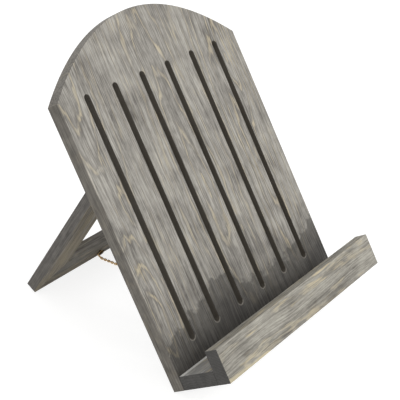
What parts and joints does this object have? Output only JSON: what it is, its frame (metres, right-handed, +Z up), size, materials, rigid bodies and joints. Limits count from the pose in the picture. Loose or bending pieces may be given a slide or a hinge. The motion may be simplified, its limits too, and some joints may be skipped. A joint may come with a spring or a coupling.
{
  "type": "book stand",
  "caption": "Folding wooden book stand: arched slotted back board, ledge with lip, mitred frame leg on butt hinges, and a limit chain.",
  "frame": {"origin": "centre of the footprint, on the table", "axes": "+Z up, -Y towards the reader (the ledge side), +X to the reader's right"},
  "size_m": [0.26, 0.271, 0.2806],
  "materials": {
    "washed_board": "gray-washed softwood, vertical grain, matt",
    "washed_ledge": "gray-washed softwood, grain along the bars, matt",
    "washed_leg": "darker gray-brown washed softwood, matt",
    "dowel_wood": "plain hardwood dowel, glued in",
    "screw_steel": "zinc-plated steel",
    "hinge_brass": "plain rolled brass",
    "aged_brass": "darkened brass",
    "chain_brass": "brass wire, slightly dulled"
  },
  "bodies": {
    "board": {"back_board": "washed_board", "ledge_shelf": "washed_ledge", "ledge_lip": "washed_ledge", "ledge_screw_1": "screw_steel", "ledge_screw_2": "screw_steel", "ledge_screw_3": "screw_steel", "ledge_screw_4": "screw_steel", "lip_dowel_1": "dowel_wood", "lip_dowel_2": "dowel_wood", "lip_dowel_3": "dowel_wood", "hinge_left_board_leaf": "hinge_brass", "hinge_right_board_leaf": "hinge_brass", "hinge_left_pin": "hinge_brass", "hinge_right_pin": "hinge_brass", "board_leaf_screw_1": "hinge_brass", "board_leaf_screw_2": "hinge_brass", "board_leaf_screw_3": "hinge_brass", "board_leaf_screw_4": "hinge_brass", "chain_screw_board": "aged_brass", "chain_end_link_board": "chain_brass", "limit_chain": "chain_brass"},
    "leg": {"leg_foot_rail": "washed_leg", "leg_top_rail": "washed_leg", "leg_stile_left": "washed_leg", "leg_stile_right": "washed_leg", "mitre_dowel_top_left": "dowel_wood", "mitre_dowel_top_right": "dowel_wood", "mitre_dowel_foot_left": "dowel_wood", "mitre_dowel_foot_right": "dowel_wood", "hinge_left_leg_leaf": "hinge_brass", "hinge_right_leg_leaf": "hinge_brass", "leg_leaf_screw_1": "hinge_brass", "leg_leaf_screw_2": "hinge_brass", "leg_leaf_screw_3": "hinge_brass", "leg_leaf_screw_4": "hinge_brass", "chain_screw_leg": "aged_brass", "chain_end_link_leg": "chain_brass"}
  },
  "joints": [
    {"name": "leg_fold", "type": "hinge", "parent": "board", "child": "leg", "pos_m": [0, 0.02877, 0.1596], "axis": [-1, 0, 0], "range_deg": [0, 63.5], "deforming": ["limit_chain"]}
  ]
}
